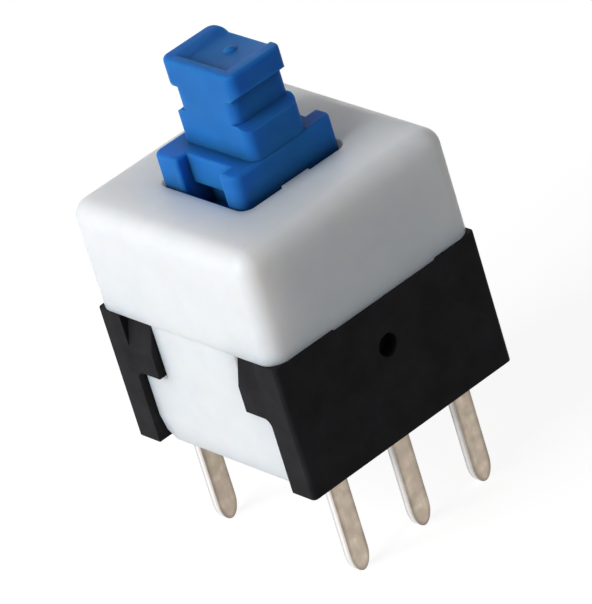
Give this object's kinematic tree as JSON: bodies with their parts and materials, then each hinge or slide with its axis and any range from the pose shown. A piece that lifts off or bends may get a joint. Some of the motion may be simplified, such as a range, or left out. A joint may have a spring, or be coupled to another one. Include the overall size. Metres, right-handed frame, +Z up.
{
  "type": "self-locking push switch",
  "caption": "Square latching push-button switch with a barbed blue plunger, a white housing on a black base, and flat solder pins below.",
  "frame": {"origin": "centre of the underside that sits on the circuit board", "axes": "+Z up along the plunger, +Y along a row of pins, +X across the two rows"},
  "size_m": [0.008, 0.008, 0.0155],
  "materials": {
    "white_plastic": "satin moulded white plastic",
    "black_plastic": "satin moulded black plastic",
    "blue_plastic": "satin moulded blue plastic",
    "spring_steel": "drawn steel wire",
    "contact_bronze": "rolled phosphor bronze",
    "tinned_brass": "dull tin plating on brass"
  },
  "bodies": {
    "body": {"housing": "white_plastic", "base": "black_plastic", "return_spring": "spring_steel", "left_closed_terminal": "tinned_brass", "left_common_terminal": "tinned_brass", "left_open_terminal": "tinned_brass", "right_closed_terminal": "tinned_brass", "right_common_terminal": "tinned_brass", "right_open_terminal": "tinned_brass"},
    "push_stem": {"plunger": "blue_plastic", "left_moving_contact": "contact_bronze", "right_moving_contact": "contact_bronze"},
    "latch": {"latch_pin": "spring_steel"}
  },
  "joints": [
    {"name": "plunger_press", "type": "slide", "parent": "body", "child": "push_stem", "axis": [0, 0, -1], "range_m": [0, 0.002], "stiffness_N_per_m": 1000, "deforming": ["return_spring"]},
    {"name": "latch_swing", "type": "hinge", "parent": "body", "child": "latch", "pos_m": [0, 0.0015, 0.00055], "axis": [0, 1, 0], "range_deg": [0, 16.5]}
  ],
  "couplings": [
    {"joint": "latch_swing", "follows": "plunger_press", "rad_per_m": 143.77}
  ]
}
